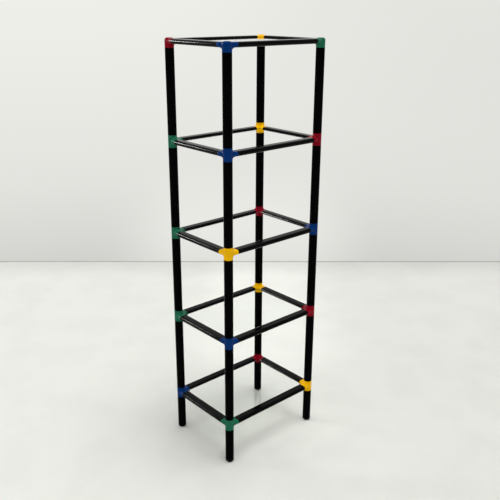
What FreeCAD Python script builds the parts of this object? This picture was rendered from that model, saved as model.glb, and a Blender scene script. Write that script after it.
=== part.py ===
import FreeCAD, Part
import math
import os
import Sketcher
from FreeCAD import Placement, Rotation, Vector

# Spine bookshelf: an open tower of tubes, coloured corner connectors and glass shelves.
# Millimetres, +Z up, +X along the width, +Y towards the back, origin under the middle of the feet.

doc = FreeCAD.newDocument("spine_bookshelf")
sheet = doc.addObject("Spreadsheet::Sheet", "dims")

# Driving dimensions
SIZES = {
    "width_axis": 395.0,
    "depth_axis": 286.0,
    "level_pitch": 319.0,
    "first_level": 155.0,
    "level_count": 5,
    "post_diameter": 30.0,
    "post_wall": 2.0,
    "plug_play": 0.2,
    "plug_length": 24.0,
    "root": 1.0,
    "collar_half": 21.0,
    "crown_height": 10.5,
    "crown_round": 8.0,
    "arm_reach": 30.0,
    "arm_straight": 5.0,
    "arm_fillet": 10.0,
    "edge_round": 0.8,
    "rail_width": 33.0,
    "rail_height": 16.0,
    "rail_wall": 5.0,
    "rail_skin": 3.8,
    "slot_depth": 7.0,
    "slot_web": 3.0,
    "tongue_length": 26.0,
    "tongue_play": 0.2,
    "pane_thickness": 5.0,
    "pane_slack": 0.4,
    "pane_play": 0.5,
    "pane_clear": 1.0,
    "foot_height": 14.0,
    "foot_round": 9.0,
    "foot_plug": 12.0,
}

# Sizes that follow from the driving ones
FOLLOWING = {
    "post_bore": "post_diameter - 2 * post_wall",
    "plug_diameter": "post_bore - 2 * plug_play",
    "slot_floor": "rail_width / 2 - slot_depth",
    "slot_height": "pane_thickness + pane_slack",
    "bore_outer": "rail_width / 2 - rail_wall",
    "bore_inner": "slot_floor - slot_web",
    "bore_height": "rail_height - 2 * rail_skin",
    "pane_inset": "slot_floor + pane_play",
    "arm_bend": "arm_reach - arm_straight",
    "arm_room": "arm_reach - post_diameter / 2 - edge_round - root",
    "collar_room": "collar_half - rail_height / 2 - edge_round - root",
    "arm_blend": "min(arm_fillet; arm_room; collar_room)",
    "pane_clip": "arm_reach + rail_width / 2 - 2 * pane_inset + pane_clear",
}

# Which way each corner and side lies from the middle, across and along
CORNERS = {
    "front_left": (-1, -1),
    "front_right": (1, -1),
    "rear_right": (1, 1),
    "rear_left": (-1, 1),
}

SIDES = {
    "front": (0, -1),
    "right": (1, 0),
    "rear": (0, 1),
    "left": (-1, 0),
}


def fill_sheet():
    rows = [(alias, str(value)) for alias, value in SIZES.items()]
    rows += [(alias, f"={formula}") for alias, formula in FOLLOWING.items()]
    for row, (alias, content) in enumerate(rows, start=1):
        sheet.set(f"A{row}", alias)
        sheet.set(f"B{row}", content)
        sheet.setAlias(f"B{row}", alias)
        doc.recompute()


def size(alias):
    return float(getattr(sheet, alias))


def new_body(name):
    body = doc.addObject("PartDesign::Body", name)
    body.Label = name
    body.AllowCompound = True
    return body


def origin_plane(body, role):
    return next(f for f in body.Origin.OriginFeatures if f.Role == role)


def new_sketch(body, name, role, offset=None):
    sketch = body.newObject("Sketcher::SketchObject", f"{body.Name}_{name}")
    sketch.AttachmentSupport = [(origin_plane(body, role), "")]
    sketch.MapMode = "FlatFace"
    if offset:
        sketch.setExpression("AttachmentOffset.Base.z", offset)
    return sketch


def bind(sketch, kind, places, value, name, expression):
    index = sketch.addConstraint(Sketcher.Constraint(kind, *places, value))
    sketch.renameConstraint(index, name)
    sketch.setExpression(f"Constraints.{name}", expression)


def draw_circle(sketch, name, radius, expression):
    index = sketch.addGeometry(Part.Circle(Vector(0, 0, 0), Vector(0, 0, 1), radius))
    sketch.addConstraint(Sketcher.Constraint("Coincident", index, 3, -1, 1))
    bind(sketch, "Radius", (index,), radius, name, expression)


# A rectangle is held by the distance of each side from the sketch's origin.
def draw_rectangle(sketch, left, right, half_height):
    corners = [
        Vector(-left[0], -half_height[0], 0),
        Vector(right[0], -half_height[0], 0),
        Vector(right[0], half_height[0], 0),
        Vector(-left[0], half_height[0], 0),
    ]
    for start, end in zip(corners, corners[1:] + corners[:1]):
        sketch.addGeometry(Part.LineSegment(start, end))
    for line in range(4):
        sketch.addConstraint(Sketcher.Constraint("Coincident", line, 2, (line + 1) % 4, 1))
    for line, kind in enumerate(("Horizontal", "Vertical", "Horizontal", "Vertical")):
        sketch.addConstraint(Sketcher.Constraint(kind, line))
    bind(sketch, "DistanceX", (0, 1, -1, 1), left[0], "left_side", left[1])
    bind(sketch, "DistanceX", (-1, 1, 0, 2), right[0], "right_side", right[1])
    bind(sketch, "DistanceY", (0, 1, -1, 1), half_height[0], "lower_side", half_height[1])
    bind(sketch, "DistanceY", (-1, 1, 2, 1), half_height[0], "upper_side", half_height[1])


# The rail's flat oval: two half rounds joined by a flat above and a flat below.
def draw_oval(sketch):
    half = size("rail_height") / 2
    reach = size("rail_width") / 2 - half
    quarter = math.pi / 2
    near = Part.Circle(Vector(reach, 0, 0), Vector(0, 0, 1), half)
    far = Part.Circle(Vector(-reach, 0, 0), Vector(0, 0, 1), half)
    sketch.addGeometry(Part.ArcOfCircle(near, -quarter, quarter))
    sketch.addGeometry(Part.LineSegment(Vector(reach, half, 0), Vector(-reach, half, 0)))
    sketch.addGeometry(Part.ArcOfCircle(far, quarter, 3 * quarter))
    sketch.addGeometry(Part.LineSegment(Vector(-reach, -half, 0), Vector(reach, -half, 0)))
    for piece in range(4):
        sketch.addConstraint(Sketcher.Constraint("Tangent", piece, 2, (piece + 1) % 4, 1))
    sketch.addConstraint(Sketcher.Constraint("PointOnObject", 0, 3, -1))
    sketch.addConstraint(Sketcher.Constraint("Symmetric", 0, 3, 2, 3, -1, 1))
    sketch.addConstraint(Sketcher.Constraint("Equal", 0, 2))
    bind(sketch, "Radius", (0,), half, "side_radius", "dims.rail_height / 2")
    bind(sketch, "DistanceX", (-1, 1, 0, 3), reach, "side_centre", "(dims.rail_width - dims.rail_height) / 2")


def new_pad(body, sketch, length, reversed_way=False, midplane=False):
    pad = body.newObject("PartDesign::Pad", f"{sketch.Name}_pad")
    pad.Profile = sketch
    pad.setExpression("Length", length)
    pad.Reversed = reversed_way
    pad.Midplane = midplane
    return pad


def cut_through(body, sketch):
    before = body.Shape.Volume
    pocket = body.newObject("PartDesign::Pocket", f"{sketch.Name}_pocket")
    pocket.Profile = sketch
    pocket.Type = 1
    pocket.Midplane = True
    doc.recompute()
    if body.Shape.Volume >= before:
        raise RuntimeError(f"{pocket.Name} removes nothing")
    return pocket


def edge_names(shape, wanted):
    return [f"Edge{i}" for i, edge in enumerate(shape.Edges, start=1) if wanted(edge)]


def points_on(edge, count=7):
    span = edge.LastParameter - edge.FirstParameter
    return [edge.valueAt(edge.FirstParameter + span * i / (count - 1)) for i in range(count)]


def dress_edges(body, kind, names, alias, value):
    base = body.Tip
    feature = body.newObject(f"PartDesign::{kind}", f"{body.Name}_{alias}")
    feature.Base = (base, names)
    feature.setExpression(value, f"dims.{alias}")
    doc.recompute()
    return feature


# The post's collar: a plain ring's height on a level, or closed by a rounded crown at the top.
def make_collar(body, is_top):
    if is_top:
        sketch = new_sketch(body, "collar", "XY_Plane", "-dims.collar_half")
        draw_circle(sketch, "radius", size("post_diameter") / 2, "dims.post_diameter / 2")
        new_pad(body, sketch, "dims.collar_half + dims.crown_height")
        doc.recompute()
        top = size("crown_height")
        rim = edge_names(body.Shape, lambda e: all(abs(p.z - top) < 0.01 for p in points_on(e)))
        dress_edges(body, "Fillet", rim, "crown_round", "Radius")
    else:
        sketch = new_sketch(body, "collar", "XY_Plane")
        draw_circle(sketch, "radius", size("post_diameter") / 2, "dims.post_diameter / 2")
        new_pad(body, sketch, "2 * dims.collar_half", midplane=True)


# One bent arm with the rail's section turns the corner through the collar.
def make_elbow(body):
    sketch = new_sketch(body, "arm", "YZ_Plane", "dims.arm_bend")
    draw_oval(sketch)
    bend = size("arm_bend")
    half = size("rail_height") / 2
    axis_line = Part.LineSegment(Vector(bend, -half, 0), Vector(bend, half, 0))
    axis = sketch.addGeometry(axis_line, True)
    sketch.addConstraint(Sketcher.Constraint("Symmetric", axis, 1, axis, 2, -1))
    bind(sketch, "DistanceX", (-1, 1, axis, 1), bend, "bend_axis", "dims.arm_bend")
    bind(sketch, "DistanceY", (axis, 1, axis, 2), 2 * half, "axis_length", "dims.rail_height")
    turn = body.newObject("PartDesign::Revolution", f"{body.Name}_turn")
    turn.Profile = sketch
    turn.ReferenceAxis = (sketch, ["Axis0"])
    turn.Angle = 90
    turn.Reversed = True
    new_pad(body, sketch, "dims.arm_straight")
    side_sketch = new_sketch(body, "side_arm", "XZ_Plane", "-dims.arm_bend")
    draw_oval(side_sketch)
    new_pad(body, side_sketch, "dims.arm_straight", reversed_way=True)
    doc.recompute()


# The concave blend follows the closed line where the bent arm leaves the collar.
def blend_arm(body):
    radius = size("post_diameter") / 2
    half = size("rail_height") / 2

    def on_collar(edge):
        points = points_on(edge)
        round_post = all(abs(math.hypot(p.x, p.y) - radius) < 0.01 for p in points)
        return round_post and all(abs(p.z) < half + 0.01 for p in points)

    dress_edges(body, "Fillet", edge_names(body.Shape, on_collar), "arm_blend", "Radius")


# Small rounds soften the open rims of the collar and of both arms.
def round_rims(body):
    reach = size("arm_reach")
    collar = size("collar_half")

    def on_rim(edge):
        points = points_on(edge)
        at_end = all(abs(p.x - reach) < 0.01 for p in points)
        at_side = all(abs(p.y - reach) < 0.01 for p in points)
        at_collar = all(abs(abs(p.z) - collar) < 0.01 for p in points)
        return at_end or at_side or at_collar

    dress_edges(body, "Fillet", edge_names(body.Shape, on_rim), "edge_round", "Radius")


def make_plugs(body, is_top):
    reach = "dims.collar_half + dims.plug_length"
    if is_top:
        sketch = new_sketch(body, "plug", "XY_Plane", f"-({reach})")
        length = reach
    else:
        sketch = new_sketch(body, "plug", "XY_Plane")
        length = f"2 * ({reach})"
    draw_circle(sketch, "radius", size("plug_diameter") / 2, "dims.plug_diameter / 2")
    new_pad(body, sketch, length, midplane=not is_top)


# Flat tongues on the arm ends fill the rails' bores, which lie towards the outside of the frame.
def make_tongues(body):
    play = size("tongue_play")
    outer = (size("bore_outer") - play, "dims.bore_outer - dims.tongue_play")
    inner = (size("bore_inner") - play, "dims.bore_inner - dims.tongue_play")
    half = (size("bore_height") / 2 - play, "dims.bore_height / 2 - dims.tongue_play")
    ahead = new_sketch(body, "tongue", "YZ_Plane", "dims.arm_reach - dims.root")
    draw_rectangle(ahead, outer, inner, half)
    new_pad(body, ahead, "dims.tongue_length + dims.root")
    aside = new_sketch(body, "side_tongue", "XZ_Plane", "dims.root - dims.arm_reach")
    draw_rectangle(aside, outer, inner, half)
    new_pad(body, aside, "dims.tongue_length + dims.root", reversed_way=True)
    doc.recompute()


def make_connector(name, is_top):
    body = new_body(name)
    make_collar(body, is_top)
    make_elbow(body)
    blend_arm(body)
    round_rims(body)
    make_plugs(body, is_top)
    make_tongues(body)
    return body


# A rail is an oval tube whose inner face is slotted along its length for the glass.
def make_rail(name, span):
    body = new_body(name)
    section = new_sketch(body, "section", "YZ_Plane")
    draw_oval(section)
    new_pad(body, section, f"dims.{span} - 2 * dims.arm_reach", midplane=True)
    doc.recompute()
    bore = new_sketch(body, "bore", "YZ_Plane")
    outer = (size("bore_outer"), "dims.bore_outer")
    inner = (size("bore_inner"), "dims.bore_inner")
    draw_rectangle(bore, outer, inner, (size("bore_height") / 2, "dims.bore_height / 2"))
    cut_through(body, bore)
    slot = new_sketch(body, "slot", "YZ_Plane")
    floor = (-size("slot_floor"), "-dims.slot_floor")
    mouth = (size("rail_width") / 2 + size("root"), "dims.rail_width / 2 + dims.root")
    draw_rectangle(slot, floor, mouth, (size("slot_height") / 2, "dims.slot_height / 2"))
    cut_through(body, slot)
    return body


# A pane lies with its edges in the four slots and its corners cut off beside the connectors.
def make_pane(name):
    body = new_body(name)
    sketch = new_sketch(body, "outline", "XY_Plane")
    inset = size("pane_inset")
    half_width = (size("width_axis") / 2 - inset, "dims.width_axis / 2 - dims.pane_inset")
    half_depth = (size("depth_axis") / 2 - inset, "dims.depth_axis / 2 - dims.pane_inset")
    draw_rectangle(sketch, half_width, half_width, half_depth)
    new_pad(body, sketch, "dims.pane_thickness", midplane=True)
    doc.recompute()
    upright = edge_names(body.Shape, lambda e: abs(e.tangentAt(e.FirstParameter).z) > 0.99)
    dress_edges(body, "Chamfer", upright, "pane_clip", "Size")
    return body


def draw_ring(sketch):
    draw_circle(sketch, "outer_radius", size("post_diameter") / 2, "dims.post_diameter / 2")
    draw_circle(sketch, "inner_radius", size("post_bore") / 2, "dims.post_bore / 2")


# A post is a row of equal tubes, one between each pair of levels.
def make_post(name):
    body = new_body(name)
    sketch = new_sketch(body, "ring", "XY_Plane", "dims.first_level + dims.collar_half")
    draw_ring(sketch)
    pad = new_pad(body, sketch, "dims.level_pitch - 2 * dims.collar_half")
    doc.recompute()
    row = body.newObject("PartDesign::LinearPattern", f"{name}_row")
    row.Originals = [pad]
    row.Direction = (sketch, ["N_Axis"])
    row.setExpression("Length", "dims.level_pitch * (dims.level_count - 2)")
    row.setExpression("Occurrences", "dims.level_count - 1")
    body.Tip = row
    doc.recompute()
    return body


def make_leg(name):
    body = new_body(name)
    sketch = new_sketch(body, "ring", "XY_Plane", "dims.foot_height")
    draw_ring(sketch)
    new_pad(body, sketch, "dims.first_level - dims.collar_half - dims.foot_height")
    doc.recompute()
    return body


# A foot is a domed cap flush with the leg, pushed into it by a round plug.
def make_foot(name):
    body = new_body(name)
    cap = new_sketch(body, "cap", "XY_Plane")
    draw_circle(cap, "radius", size("post_diameter") / 2, "dims.post_diameter / 2")
    new_pad(body, cap, "dims.foot_height")
    doc.recompute()
    rim = edge_names(body.Shape, lambda e: all(abs(p.z) < 0.01 for p in points_on(e)))
    dress_edges(body, "Fillet", rim, "foot_round", "Radius")
    plug = new_sketch(body, "plug", "XY_Plane", "dims.foot_height - dims.root")
    draw_circle(plug, "radius", size("plug_diameter") / 2, "dims.plug_diameter / 2")
    new_pad(body, plug, "dims.foot_plug + dims.root")
    doc.recompute()
    return body


# A corner piece and a front piece are drawn facing the front left and the front, and turned from there.
def turn_from(across, along, drawn_across, drawn_along):
    drawn = math.atan2(drawn_along, drawn_across)
    return math.degrees(math.atan2(along, across) - drawn)


def place(body, across, along, height, turn):
    body.setExpression("Placement.Base.x", f"{across} * dims.width_axis / 2")
    body.setExpression("Placement.Base.y", f"{along} * dims.depth_axis / 2")
    body.setExpression("Placement.Base.z", height)
    body.Placement = Placement(Vector(0, 0, 0), Rotation(Vector(0, 0, 1), turn))


def build():
    nodes = []
    levels = int(size("level_count"))
    for level in range(1, levels + 1):
        height = f"dims.first_level + {level - 1} * dims.level_pitch"
        for corner, (across, along) in CORNERS.items():
            body = make_connector(f"connector_{level}_{corner}", level == levels)
            place(body, across, along, height, turn_from(across, along, *CORNERS["front_left"]))
            nodes.append(body)
        for side, (across, along) in SIDES.items():
            span = "width_axis" if side in ("front", "rear") else "depth_axis"
            body = make_rail(f"rail_{level}_{side}", span)
            place(body, across, along, height, turn_from(across, along, *SIDES["front"]))
            nodes.append(body)
        body = make_pane(f"glass_{level}")
        place(body, 0, 0, f"{height} - (dims.slot_height - dims.pane_thickness) / 2", 0)
        nodes.append(body)
    for corner, (across, along) in CORNERS.items():
        for maker, name in ((make_post, "post"), (make_leg, "leg"), (make_foot, "foot")):
            body = maker(f"{name}_{corner}")
            place(body, across, along, "0", turn_from(across, along, *CORNERS["front_left"]))
            nodes.append(body)
    doc.recompute()
    return nodes


def check(nodes):
    for item in doc.Objects:
        if {"Invalid", "Error"} & set(item.State):
            raise RuntimeError(f"{item.Name} did not build: {item.State}")
    for node in nodes:
        if node.Shape.isNull() or not node.Shape.isValid():
            raise RuntimeError(f"{node.Label} has no valid shape")


fill_sheet()
pieces = build()
check(pieces)
os.makedirs("parts", exist_ok=True)
for piece in pieces:
    piece.Shape.exportStep(f"parts/{piece.Label}.step")
print(f"{len(pieces)} pieces written")
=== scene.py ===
import bmesh
import bpy
import math
from mathutils import Matrix, Vector

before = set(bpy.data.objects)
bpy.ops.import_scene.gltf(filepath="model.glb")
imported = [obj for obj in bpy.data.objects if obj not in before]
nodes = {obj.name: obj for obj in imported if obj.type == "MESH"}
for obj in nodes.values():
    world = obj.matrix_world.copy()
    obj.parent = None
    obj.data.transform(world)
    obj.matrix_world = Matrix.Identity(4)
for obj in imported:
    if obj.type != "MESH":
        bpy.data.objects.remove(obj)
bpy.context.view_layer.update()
scene = bpy.context.scene
scene.view_settings.view_transform = "Standard"
print("frame loaded:", len(nodes), "pieces")

# noise seldom leaves the middle of its span, so roughness and colour run over that part of it
noiseSpans = {
    "rough": (0.3, 0.7),
    "colour": (0.32, 0.68),
}


# one place for the small node jobs that the finishes, the floor and the room share
def newFinish(name):
    mat = bpy.data.materials.new(name)
    mat.use_nodes = True
    return mat, mat.node_tree, mat.node_tree.nodes["Principled BSDF"]


def addNoise(tree, scale, detail):
    coords = tree.nodes.new("ShaderNodeTexCoord")
    noise = tree.nodes.new("ShaderNodeTexNoise")
    noise.inputs["Scale"].default_value = scale
    noise.inputs["Detail"].default_value = detail
    tree.links.new(coords.outputs["Object"], noise.inputs["Vector"])
    return noise.outputs["Fac"]


def addRange(tree, value, fromSpan, toSpan, curve="LINEAR"):
    remap = tree.nodes.new("ShaderNodeMapRange")
    remap.interpolation_type = curve
    remap.inputs["From Min"].default_value = fromSpan[0]
    remap.inputs["From Max"].default_value = fromSpan[1]
    remap.inputs["To Min"].default_value = toSpan[0]
    remap.inputs["To Max"].default_value = toSpan[1]
    tree.links.new(value, remap.inputs["Value"])
    return remap.outputs["Result"]


def addTone(tree, value, fromSpan, toSpan):
    return addRange(tree, value, fromSpan, toSpan, "SMOOTHSTEP")


def addAlong(tree, coords, direction):
    along = tree.nodes.new("ShaderNodeVectorMath")
    along.operation = "DOT_PRODUCT"
    along.inputs[1].default_value = direction
    tree.links.new(coords, along.inputs[0])
    return along.outputs["Value"]


def addMath(tree, operation, *values):
    sums = tree.nodes.new("ShaderNodeMath")
    sums.operation = operation
    for value, socket in zip(values, sums.inputs):
        tree.links.new(value, socket)
    return sums.outputs["Value"]


def addProduct(tree, *values):
    product = values[0]
    for value in values[1:]:
        product = addMath(tree, "MULTIPLY", product, value)
    return product


def setClouds(tree, shader, clouds, dark, light):
    ramp = tree.nodes.new("ShaderNodeValToRGB")
    for step, place, colour in zip(ramp.color_ramp.elements, noiseSpans["colour"], (dark, light)):
        step.position = place
        step.color = (*colour, 1)
    tree.links.new(clouds, ramp.inputs["Fac"])
    tree.links.new(ramp.outputs["Color"], shader.inputs["Base Color"])


def setRough(tree, shader, noise, span):
    tree.links.new(addRange(tree, noise, noiseSpans["rough"], span), shader.inputs["Roughness"])


def setBump(tree, shader, height, strength, depth):
    bump = tree.nodes.new("ShaderNodeBump")
    bump.inputs["Strength"].default_value = strength
    bump.inputs["Distance"].default_value = depth
    tree.links.new(height, bump.inputs["Height"])
    tree.links.new(bump.outputs["Normal"], shader.inputs["Normal"])


def coat(node, mat):
    node.data.materials.clear()
    node.data.materials.append(mat)
    for face in node.data.polygons:
        face.material_index = 0


# in each finish a noise is (scale, detail), rough is (lowest, highest) and a bump is (strength, depth)

# black lacquer, glossier on the rails than on the posts and legs
tubeLacquer = {
    "dark": (0.0007, 0.0007, 0.0008),
    "light": (0.0016, 0.0016, 0.0018),
    "clouds": (26.0, 3.0),
    "smudges": (9.0, 5.0),
    "rough": (0.08, 0.12),
    "sheens": {"rail": 0.05, "post": 0.012},
    "peel": (520.0, 2.0),
    "peelBump": (0.015, 0.0004),
}


def makeTubeLacquer(kind, look):
    mat, tree, shader = newFinish(kind + "Lacquer")
    setClouds(tree, shader, addNoise(tree, *look["clouds"]), look["dark"], look["light"])
    setRough(tree, shader, addNoise(tree, *look["smudges"]), look["rough"])
    shader.inputs["Specular IOR Level"].default_value = look["sheens"][kind]
    setBump(tree, shader, addNoise(tree, *look["peel"]), *look["peelBump"])
    return mat


# moulded end caps under the legs
footPlastic = {
    "dark": (0.0012, 0.0012, 0.0012),
    "light": (0.0026, 0.0026, 0.0026),
    "clouds": (70.0, 3.0),
    "rough": (0.38, 0.5),
    "sheen": 0.04,
    "grain": (1500.0, 1.0),
    "grainBump": (0.12, 0.0003),
}

# ground edges of the panes, dark green and without gloss
groundEdge = {
    "dark": (0.02, 0.045, 0.033),
    "light": (0.04, 0.08, 0.06),
    "clouds": (90.0, 3.0),
    "rough": (0.55, 0.75),
    "sheen": 0.1,
    "grain": (2400.0, 1.0),
    "grainBump": (0.2, 0.0002),
}


def makeDullFinish(name, look):
    mat, tree, shader = newFinish(name)
    clouds = addNoise(tree, *look["clouds"])
    setClouds(tree, shader, clouds, look["dark"], look["light"])
    setRough(tree, shader, clouds, look["rough"])
    shader.inputs["Specular IOR Level"].default_value = look["sheen"]
    setBump(tree, shader, addNoise(tree, *look["grain"]), *look["grainBump"])
    return mat


# glossy coloured plastic of the corner connectors
connectorPlastic = {
    "colours": {
        "blue": (0.0, 0.029, 0.152),
        "red": (0.235, 0.0012, 0.011),
        "green": (0.014, 0.142, 0.076),
        "yellow": (0.95, 0.512, 0.001),
    },
    "shade": 0.9,  # how dark the clouds in a colour get
    "clouds": (34.0, 4.0),
    "smudges": (22.0, 5.0),
    "rough": (0.13, 0.2),
    "sheen": 0.05,
    "skin": (900.0, 1.0),
    "skinBump": (0.06, 0.0003),
}
# colours by level, counted from the bottom
connectorOrder = {
    5: {"rear_left": "red", "front_left": "blue", "front_right": "green", "rear_right": "yellow"},
    4: {"rear_left": "green", "front_left": "blue", "front_right": "red", "rear_right": "yellow"},
    3: {"rear_left": "green", "front_left": "yellow", "front_right": "blue", "rear_right": "red"},
    2: {"rear_left": "green", "front_left": "blue", "front_right": "red", "rear_right": "yellow"},
    1: {"rear_left": "blue", "front_left": "green", "front_right": "yellow", "rear_right": "red"},
}


def makeConnectorPlastic(colourName, look):
    mat, tree, shader = newFinish(colourName + "Plastic")
    light = look["colours"][colourName]
    dark = [part * look["shade"] for part in light]
    setClouds(tree, shader, addNoise(tree, *look["clouds"]), dark, light)
    setRough(tree, shader, addNoise(tree, *look["smudges"]), look["rough"])
    shader.inputs["Specular IOR Level"].default_value = look["sheen"]
    setBump(tree, shader, addNoise(tree, *look["skin"]), *look["skinBump"])
    return mat


# clear float glass with a breath of green; lamps pass through it
paneGlass = {
    "tint": (0.972, 0.988, 0.978, 1),
    "shadowTint": (0.88, 0.89, 0.883, 1),
    "ior": 1.52,
    "film": (6.0, 6.0),
    "rough": (0.0, 0.012),
    "waves": (6.0, 0.0),
    "waveBump": (0.004, 0.001),
    "edgeSlope": 0.7,  # a face whose normal rises less than this is an edge
}


def makePaneGlass(look):
    mat, tree, shader = newFinish("paneGlass")
    shader.inputs["Base Color"].default_value = look["tint"]
    shader.inputs["Transmission Weight"].default_value = 1.0
    shader.inputs["IOR"].default_value = look["ior"]
    setRough(tree, shader, addNoise(tree, *look["film"]), look["rough"])
    setBump(tree, shader, addNoise(tree, *look["waves"]), *look["waveBump"])
    through = tree.nodes.new("ShaderNodeBsdfTransparent")
    through.inputs["Color"].default_value = look["shadowTint"]
    path = tree.nodes.new("ShaderNodeLightPath")
    mix = tree.nodes.new("ShaderNodeMixShader")
    tree.links.new(path.outputs["Is Shadow Ray"], mix.inputs["Fac"])
    tree.links.new(shader.outputs["BSDF"], mix.inputs[1])
    tree.links.new(through.outputs["BSDF"], mix.inputs[2])
    tree.links.new(mix.outputs["Shader"], tree.nodes["Material Output"].inputs["Surface"])
    return mat


def coatPane(node, glass, edge, slope):
    coat(node, glass)
    node.data.materials.append(edge)
    for face in node.data.polygons:
        if abs(face.normal.z) < slope:
            face.material_index = 1


def finishPieces():
    lacquers = {kind: makeTubeLacquer(kind, tubeLacquer) for kind in tubeLacquer["sheens"]}
    caps = makeDullFinish("footPlastic", footPlastic)
    glass = makePaneGlass(paneGlass)
    edge = makeDullFinish("groundEdge", groundEdge)
    plastics = {c: makeConnectorPlastic(c, connectorPlastic) for c in connectorPlastic["colours"]}
    for name, node in nodes.items():
        kind, rest = name.split("_", 1)
        if kind == "rail":
            coat(node, lacquers["rail"])
        elif kind in ("post", "leg"):
            coat(node, lacquers["post"])
        elif kind == "foot":
            coat(node, caps)
        elif kind == "glass":
            coatPane(node, glass, edge, paneGlass["edgeSlope"])
        else:
            level, corner = rest.split("_", 1)
            coat(node, plastics[connectorOrder[int(level)][corner]])
    print("finishes set")


# the camera stands where the photograph was taken from; angles in degrees, heading from +Y towards +X
shot = {
    "place": (-1.492, -1.697, 1.540),
    "heading": 41.75,
    "down": 19.99,
    "roll": 0.284,
    "lens": 48.58,
    "wallTurn": 0.75,  # how far the wall is turned from square to the view
}


# level directions ahead and to the right
def levelWays(heading):
    turn = math.radians(heading)
    ahead = Vector((math.sin(turn), math.cos(turn), 0))
    right = Vector((math.cos(turn), -math.sin(turn), 0))
    return ahead, right


def placeCamera(look):
    down = math.radians(look["down"])
    level, right = levelWays(look["heading"])
    ahead = level * math.cos(down) - Vector((0, 0, math.sin(down)))
    turned = Matrix((right, right.cross(ahead), -ahead)).transposed().to_4x4()
    rolled = Matrix.Rotation(math.radians(look["roll"]), 4, "Z")
    camera = bpy.data.objects.new("shotCamera", bpy.data.cameras.new("shotCamera"))
    camera.matrix_world = Matrix.Translation(look["place"]) @ turned @ rolled
    camera.data.lens = look["lens"]
    scene.collection.objects.link(camera)
    scene.camera = camera
    print("camera placed")


# pale floor that ends where the wall begins, behind the rack as the camera sees it
floorLook = {
    "colour": (0.735, 0.743, 0.697),
    "rough": 0.7,
    "sheen": 0.15,
    "behind": 1.763,
    "before": 14.0,
    "half": 14.0,
    "shadeStripWidth": 0.32,  # painted shade in a strip along the wall
    "shadeStripTone": 0.85,
    "joint": 0.022,  # painted shade line where the floor meets the wall
    "jointShadeTone": 0.4,
    "sideSpan": (-0.9, 1.3),  # painted shade, darker from left to right
    "sideShadeTone": 0.93,
    "middleLeft": (-0.5, 0.08),  # painted light, lightest in the middle, behind the rack
    "middleRight": (0.12, 0.75),
    "middleFar": (0.0, 0.7),
    "middleLightTone": 1.13,
    "scuffs": (4.8, 6.0),
    "scuffSpan": (0.36, 0.6),
    "scuffTone": 0.965,
}


def makeFloorFinish(look, ahead, side):
    mat, tree, shader = newFinish("studioFloor")
    coords = tree.nodes.new("ShaderNodeTexCoord").outputs["Object"]
    depth = addAlong(tree, coords, ahead)
    across = addAlong(tree, coords, side)
    wall = look["behind"]
    # painted shade in a strip along the wall
    shadeStrip = addTone(tree, depth, (wall - look["shadeStripWidth"], wall), (1.0, look["shadeStripTone"]))
    # painted shade line where the floor meets the wall
    joint = addTone(tree, depth, (wall - look["joint"], wall), (1.0, look["jointShadeTone"]))
    # painted shade, darker from left to right
    sideShade = addTone(tree, across, look["sideSpan"], (1.0, look["sideShadeTone"]))
    # painted light in the middle of the floor, behind the rack
    leftPart = addTone(tree, across, look["middleLeft"], (0.0, 1.0))
    rightPart = addTone(tree, across, look["middleRight"], (1.0, 0.0))
    farPart = addTone(tree, depth, look["middleFar"], (0.0, 1.0))
    middleLightMask = addProduct(tree, leftPart, rightPart, farPart)
    middle = addTone(tree, middleLightMask, (0.0, 1.0), (1.0, look["middleLightTone"]))
    clouds = addNoise(tree, *look["scuffs"])
    scuffs = addTone(tree, clouds, look["scuffSpan"], (look["scuffTone"], 1.0))
    shade = tree.nodes.new("ShaderNodeVectorMath")
    shade.operation = "SCALE"
    shade.inputs[0].default_value = look["colour"]
    tree.links.new(addProduct(tree, shadeStrip, sideShade, middle, scuffs, joint), shade.inputs["Scale"])
    tree.links.new(shade.outputs["Vector"], shader.inputs["Base Color"])
    shader.inputs["Roughness"].default_value = look["rough"]
    shader.inputs["Specular IOR Level"].default_value = look["sheen"]
    return mat


def makeFloor(look, ahead, side):
    halfDeep = (look["behind"] + look["before"]) / 2
    moved = Matrix.Translation(ahead * (look["behind"] - halfDeep))
    turned = Matrix((side, ahead, (0, 0, 1))).transposed().to_4x4()
    stretched = Matrix.Diagonal((look["half"], halfDeep, 1, 1))
    bm = bmesh.new()
    bmesh.ops.create_grid(bm, x_segments=1, y_segments=1, size=1.0)
    bmesh.ops.transform(bm, matrix=moved @ turned @ stretched, verts=bm.verts)
    mesh = bpy.data.meshes.new("studioFloor")
    bm.to_mesh(mesh)
    bm.free()
    mesh.materials.append(makeFloorFinish(look, ahead, side))
    floor = bpy.data.objects.new("studioFloor", mesh)
    scene.collection.objects.link(floor)
    print("floor laid")


# the wall is the world: to the camera a wall with painted shade and light, for the rest bright behind the
# rack and dimmer in the room
roomLook = {
    "light": (1.0, 0.995, 0.97, 1),
    "wallEdge": (-0.05, 0.4),
    "wallGlow": 0.62,
    "roomGlow": 0.03,
    "mirrorGlows": (0.4, 0.22),  # what the room and the wall give on top of that in gloss and glass
    "wall": (1.0, 1.0, 0.955),
    "wallHeightShade": {-0.36: 0.62, -0.314: 0.686, -0.243: 0.765, -0.158: 0.808, 0.0: 0.862},  # rise: tone, painted shade darker towards the floor
    "rightSpan": (-0.3, 0.4),  # painted shade, darker at the top right
    "rightShadeTone": 0.9,
    "middleSpan": (0.06, 0.24),  # painted light, lighter low in the middle
    "lowSpan": (0.0, 0.5),
    "middleLightTone": 1.2,
}


def addWallHeightShade(tree, height, low, high, look):
    tones = tree.nodes.new("ShaderNodeValToRGB")
    steps = tones.color_ramp.elements
    steps.remove(steps[1])
    for rise, tone in look["wallHeightShade"].items():
        step = steps[0] if rise == low else steps.new((rise - low) / (high - low))
        step.color = (*(tone * part for part in look["wall"]), 1)
    tree.links.new(height, tones.inputs["Fac"])
    return tones.outputs["Color"]


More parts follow.
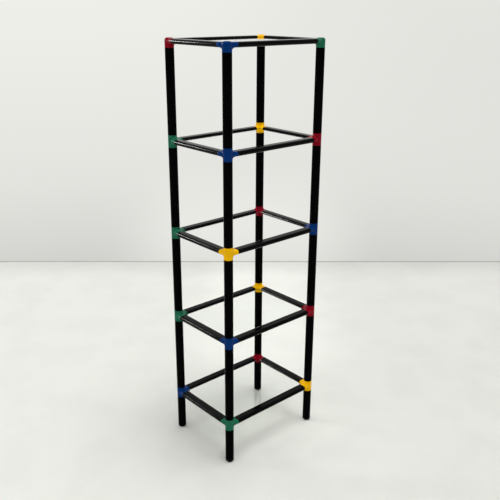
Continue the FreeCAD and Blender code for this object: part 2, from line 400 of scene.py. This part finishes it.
def makeRoom(look, ahead, side):
    world = bpy.data.worlds.new("paleRoom")
    scene.world = world
    world.use_nodes = True
    tree = world.node_tree
    coords = tree.nodes.new("ShaderNodeTexCoord").outputs["Generated"]
    path = tree.nodes.new("ShaderNodeLightPath").outputs
    facing = addAlong(tree, coords, ahead)
    glow = addTone(tree, facing, look["wallEdge"], (look["roomGlow"], look["wallGlow"]))
    mirrored = addTone(tree, facing, look["wallEdge"], look["mirrorGlows"])
    shine = addProduct(tree, mirrored, path["Is Glossy Ray"])
    lit = tree.nodes["Background"]
    lit.inputs["Color"].default_value = look["light"]
    tree.links.new(addMath(tree, "ADD", glow, shine), lit.inputs["Strength"])
    low, high = min(look["wallHeightShade"]), max(look["wallHeightShade"])
    height = addRange(tree, addAlong(tree, coords, (0, 0, 1)), (low, high), (0.0, 1.0))
    across = addAlong(tree, coords, side)
    # painted shade at the top right of the wall
    rightPart = addProduct(tree, addTone(tree, across, look["rightSpan"], (0.0, 1.0)), height)
    right = addTone(tree, rightPart, (0.0, 1.0), (1.0, look["rightShadeTone"]))
    # painted light low in the middle of the wall
    nearMiddle = addTone(tree, addMath(tree, "ABSOLUTE", across), look["middleSpan"], (1.0, 0.0))
    lowDown = addTone(tree, height, look["lowSpan"], (1.0, 0.0))
    middleLightMask = addProduct(tree, nearMiddle, lowDown)
    middle = addTone(tree, middleLightMask, (0.0, 1.0), (1.0, look["middleLightTone"]))
    # the wall the camera sees: painted shade towards the floor and at the top right, painted light low in
    # the middle
    seenWall = tree.nodes.new("ShaderNodeBackground")
    tree.links.new(addWallHeightShade(tree, height, low, high, look), seenWall.inputs["Color"])
    tree.links.new(addProduct(tree, right, middle), seenWall.inputs["Strength"])
    seen = addMath(tree, "MAXIMUM", path["Is Camera Ray"], path["Is Transmission Ray"])
    whole = tree.nodes.new("ShaderNodeMixShader")
    tree.links.new(seen, whole.inputs["Fac"])
    tree.links.new(lit.outputs["Background"], whole.inputs[1])
    tree.links.new(seenWall.outputs["Background"], whole.inputs[2])
    tree.links.new(whole.outputs["Shader"], tree.nodes["World Output"].inputs["Surface"])
    print("room set")


# ceiling light, the soft light of the room in front, and two weaker lights on the left; spread in degrees
softLights = {
    "ceiling": {"toLamp": (0.13, -0.14, 1.0), "spread": 32.0, "strength": 1.5},
    "frontRoom": {"toLamp": (-0.55, -0.61, 0.57), "spread": 140.0, "strength": 1.7},
    "windowGlow": {"toLamp": (-0.574, 0.819, 0.62), "spread": 8.0, "strength": 0.27},
    "sideGlow": {"toLamp": (-0.95, 0.31, 0.6), "spread": 9.0, "strength": 0.2},
}
# window on the left, dimmer towards its front end; it only gives the line of light along the rails
window = {
    "place": (-1.49, 1.7, 1.75),
    "facing": (1, 0, 0),
    "tall": 0.2,
    "panes": {(0.22, 0.6): 50.0, (0.0, 0.22): 19.0, (-0.15, 0.0): 0.6, (-0.33, -0.15): 0.4},  # ends: power
}


def hangSoftLight(name, look):
    sun = bpy.data.lights.new(name, "SUN")
    sun.energy = look["strength"]
    sun.angle = math.radians(look["spread"])
    lamp = bpy.data.objects.new(name, sun)
    lamp.rotation_euler = Vector(look["toLamp"]).to_track_quat("Z", "Y").to_euler()
    lamp.visible_glossy = False
    return lamp


def hangPane(front, back, power, look):
    pane = bpy.data.lights.new("window", "AREA")
    pane.shape = "RECTANGLE"
    pane.size = back - front
    pane.size_y = look["tall"]
    pane.energy = power
    lamp = bpy.data.objects.new("window", pane)
    lamp.location = Vector(look["place"]) + Vector((0, (front + back) / 2, 0))
    lamp.rotation_euler = (-Vector(look["facing"])).to_track_quat("Z", "Y").to_euler()
    lamp.visible_diffuse = False
    return lamp


def hangLamps():
    lamps = [hangSoftLight(name, look) for name, look in softLights.items()]
    lamps += [hangPane(*ends, power, window) for ends, power in window["panes"].items()]
    for lamp in lamps:
        lamp.visible_camera = False
        scene.collection.objects.link(lamp)
    print("lamps hung")


finishPieces()
placeCamera(shot)
wallAhead, wallRight = levelWays(shot["heading"] - shot["wallTurn"])
makeFloor(floorLook, wallAhead, wallRight)
makeRoom(roomLook, wallAhead, wallRight)
hangLamps()
